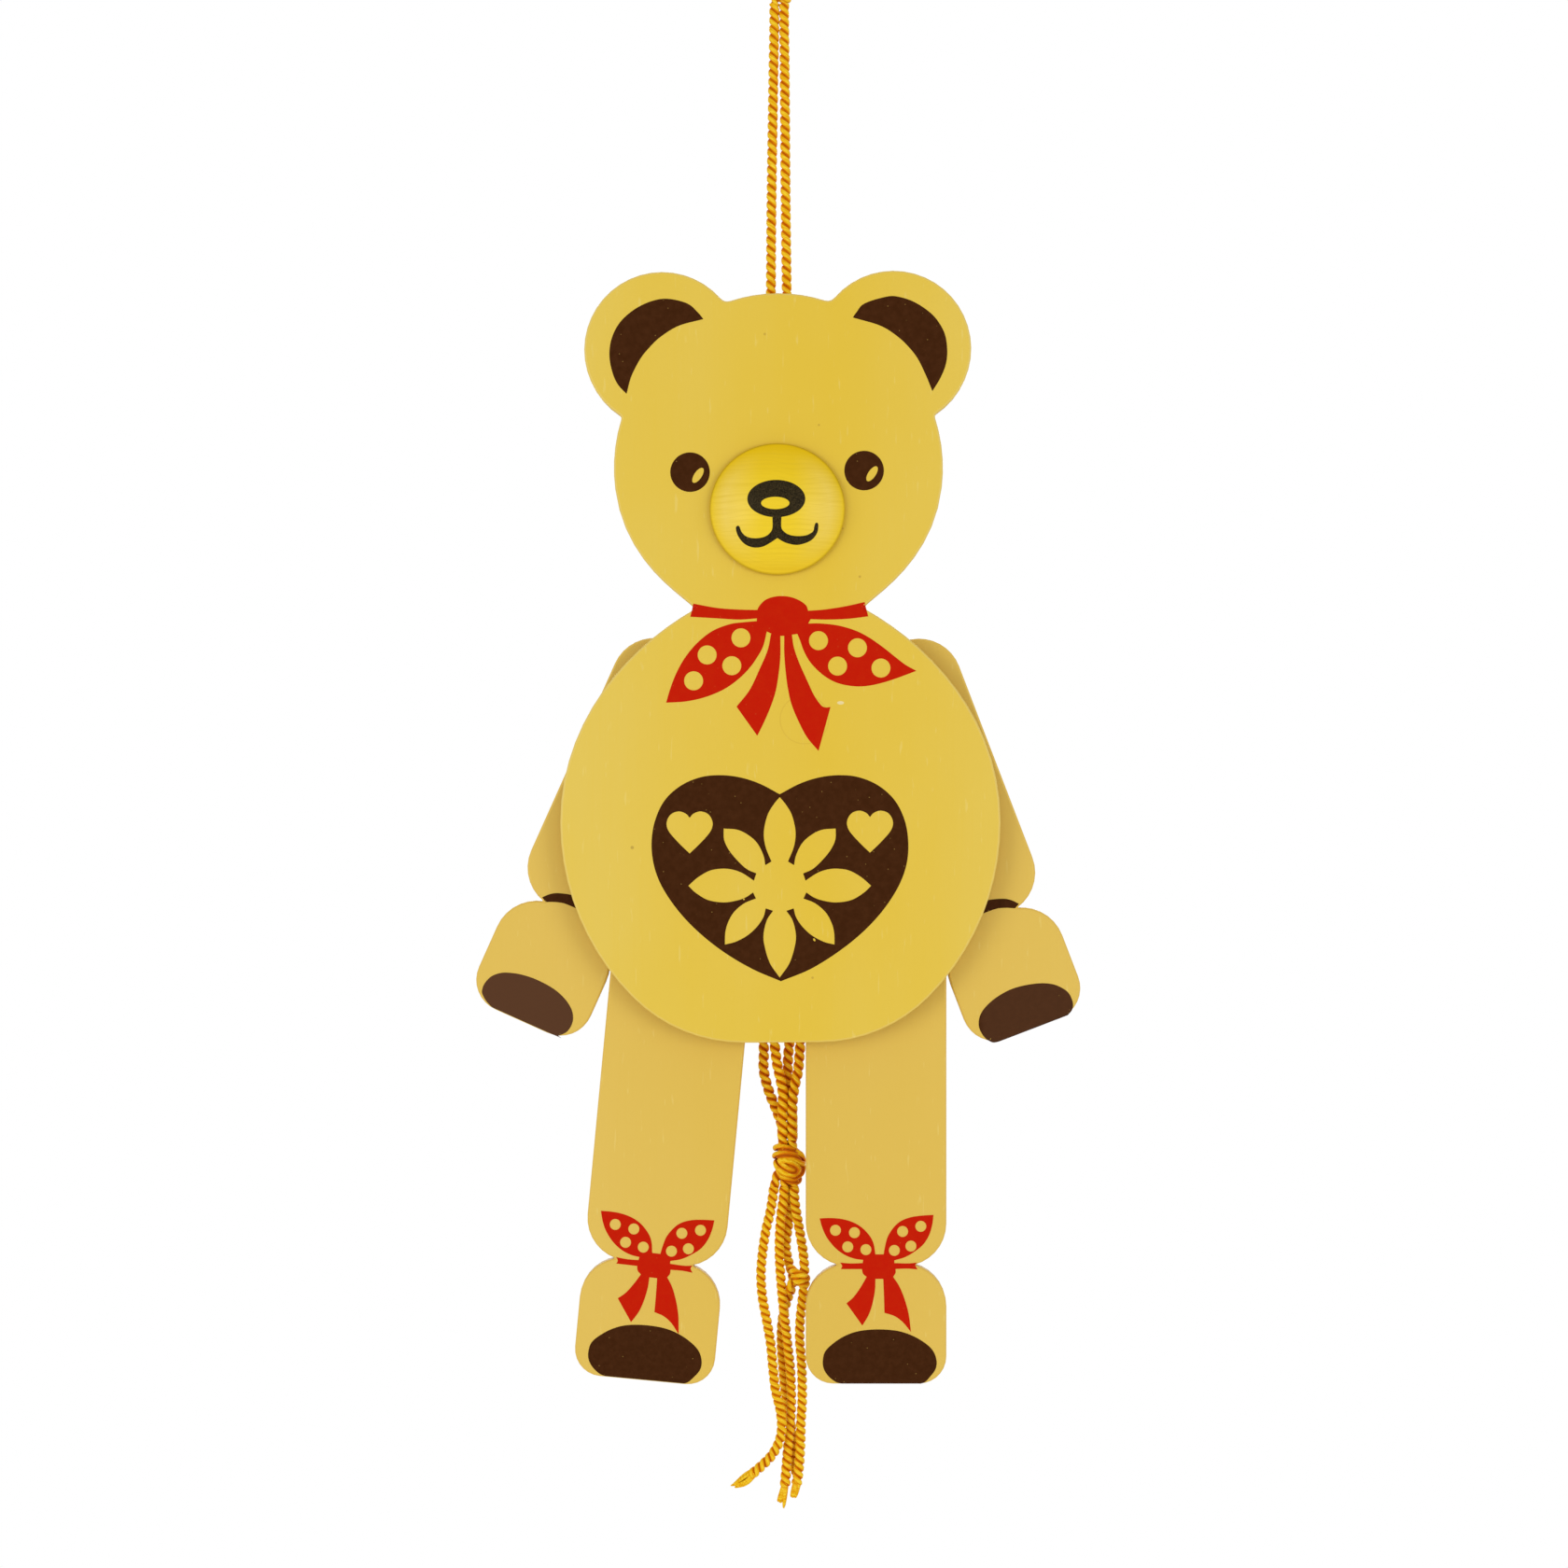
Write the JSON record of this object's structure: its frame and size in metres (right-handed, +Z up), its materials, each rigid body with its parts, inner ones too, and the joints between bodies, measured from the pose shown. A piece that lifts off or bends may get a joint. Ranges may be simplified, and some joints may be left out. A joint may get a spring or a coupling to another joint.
{
  "type": "jumping jack",
  "caption": "Flat wooden pull-string toy bear whose arms and legs swing out when the tails under it are pulled, hung from a loop of twisted cord.",
  "frame": {"origin": "top of the hanging loop, where it hangs on its nail", "axes": "+Z up along the plumb line, the painted front faces -Y, +X to the viewer's right"},
  "size_m": [0.153, 0.0258, 0.4084],
  "materials": {
    "plate_paint": "satin ochre-yellow paint over fine plywood",
    "limb_paint": "satin ochre-yellow paint over fine plywood",
    "muzzle_paint": "glossy clear yellow stain over turned wood",
    "dowel_wood": "bare beech",
    "fibre_washer": "matt red-brown vulcanised fibre",
    "bright_steel": "bright zinc-plated steel",
    "gold_cord": "twisted satin cord, gold",
    "brown_ink": "satin dark-brown screen print",
    "black_ink": "satin near-black print",
    "red_ink": "satin red screen print"
  },
  "bodies": {
    "body": {"body_plate": "plate_paint", "muzzle": "muzzle_paint", "hanger_staple": "bright_steel", "hanging_knot": "gold_cord", "hanging_loop": "gold_cord", "left_hanging_strand": "gold_cord", "left_strand_knot": "gold_cord", "right_hanging_strand": "gold_cord", "right_strand_knot": "gold_cord", "left_arm_pin": "dowel_wood", "left_arm_spacer": "fibre_washer", "left_arm_cap": "bright_steel", "left_leg_pin": "dowel_wood", "left_leg_spacer": "fibre_washer", "left_leg_cap": "bright_steel", "right_arm_pin": "dowel_wood", "right_arm_spacer": "fibre_washer", "right_arm_cap": "bright_steel", "right_leg_pin": "dowel_wood", "right_leg_spacer": "fibre_washer", "right_leg_cap": "bright_steel"},
    "left_arm": {"left_arm": "limb_paint", "left_arm_knot": "gold_cord"},
    "left_leg": {"left_leg": "limb_paint", "left_leg_knot": "gold_cord"},
    "right_arm": {"right_arm": "limb_paint", "right_arm_knot": "gold_cord"},
    "right_leg": {"right_leg": "limb_paint", "right_leg_knot": "gold_cord"},
    "pull": {"pull_knot": "gold_cord", "left_arm_cord": "gold_cord", "left_leg_cord": "gold_cord", "right_arm_cord": "gold_cord", "right_leg_cord": "gold_cord", "tail_1": "gold_cord", "tail_2": "gold_cord", "tail_3": "gold_cord", "tail_4": "gold_cord", "tail_knot": "gold_cord"}
  },
  "joints": [
    {"name": "left_arm_swing", "type": "hinge", "parent": "body", "child": "left_arm", "pos_m": [-0.0288, 0.00215, -0.2031], "axis": [0, 1, 0], "range_deg": [0, 95]},
    {"name": "left_leg_swing", "type": "hinge", "parent": "body", "child": "left_leg", "pos_m": [-0.02445, 0.00215, -0.2674], "axis": [0, 1, 0], "range_deg": [0, 75]},
    {"name": "right_arm_swing", "type": "hinge", "parent": "body", "child": "right_arm", "pos_m": [0.0322, 0.00215, -0.2031], "axis": [0, -1, 0], "range_deg": [0, 95]},
    {"name": "right_leg_swing", "type": "hinge", "parent": "body", "child": "right_leg", "pos_m": [0.0245, 0.00215, -0.2678], "axis": [0, -1, 0], "range_deg": [0, 75]},
    {"name": "pull_slide", "type": "slide", "parent": "body", "child": "pull", "axis": [0, 0, -1], "range_m": [0, 0.0133]}
  ],
  "couplings": [
    {"joint": "left_leg_swing", "follows": "right_leg_swing", "ratio": 1},
    {"joint": "left_arm_swing", "follows": "right_leg_swing", "ratio": 1.2666},
    {"joint": "right_arm_swing", "follows": "right_leg_swing", "ratio": 1.2666},
    {"joint": "pull_slide", "follows": "right_leg_swing", "m_per_rad": 0.010138}
  ]
}
